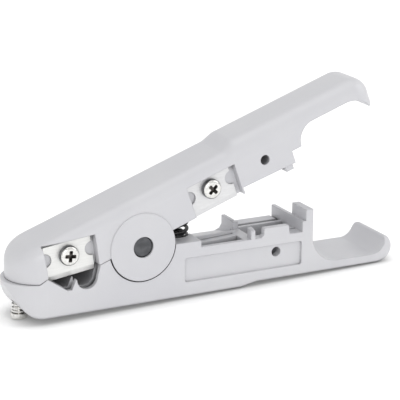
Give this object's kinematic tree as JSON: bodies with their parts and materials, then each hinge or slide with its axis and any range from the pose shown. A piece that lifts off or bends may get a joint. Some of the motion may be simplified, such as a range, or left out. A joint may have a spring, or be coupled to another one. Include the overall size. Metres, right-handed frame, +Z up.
{
  "type": "data cable stripper",
  "caption": "Hand-held cable stripper with two hinged plastic arms, blades over cable notches and a flat-cable bay, a return spring and a depth screw.",
  "frame": {"origin": "centre of the bounding box on the surface that the tool stands on", "axes": "+X from the nose to the grips, +Y away from the blade side, +Z up"},
  "size_m": [0.125, 0.0204, 0.0589],
  "materials": {
    "arms": "fine moulded grain, light grey",
    "pin": "turned, dark",
    "black_spring": "black oxide",
    "blade": "satin ground",
    "screws": "bright nickel plate",
    "nuts": "bright nickel plate",
    "lock_spring": "bright spring steel"
  },
  "bodies": {
    "lower": {"lower_arm": "arms", "pivot_pin": "pin", "return_spring": "black_spring", "depth_nut": "nuts"},
    "upper": {"upper_arm": "arms", "nose_blade": "blade", "nose_blade_screw": "screws", "nose_blade_nut": "nuts", "handle_blade": "blade", "handle_blade_screw": "screws", "handle_blade_nut": "nuts"},
    "lock": {"depth_screw_spring": "lock_spring"},
    "adjuster": {"depth_screw": "screws"}
  },
  "joints": [
    {"name": "handle_pivot", "type": "hinge", "parent": "lower", "child": "upper", "pos_m": [-0.02253, 0, 0.01849], "axis": [0, 1, 0], "range_deg": [0, 19.3], "stiffness_Nm_per_rad": 0.14, "springref_deg": -7.45, "deforming": ["return_spring"]},
    {"name": "screw_travel", "type": "slide", "parent": "lower", "child": "lock", "axis": [0.0245, 0, 0.9997], "range_m": [-0.001, 0.0015], "deforming": ["depth_screw_spring"]},
    {"name": "screw_turn", "type": "hinge", "parent": "lock", "child": "adjuster", "pos_m": [-0.05789, 0, 0.00005], "axis": [0.0245, 0, 0.9997], "range_deg": [-720, 1080]}
  ],
  "couplings": [
    {"joint": "screw_turn", "follows": "screw_travel", "rad_per_m": 12566}
  ]
}
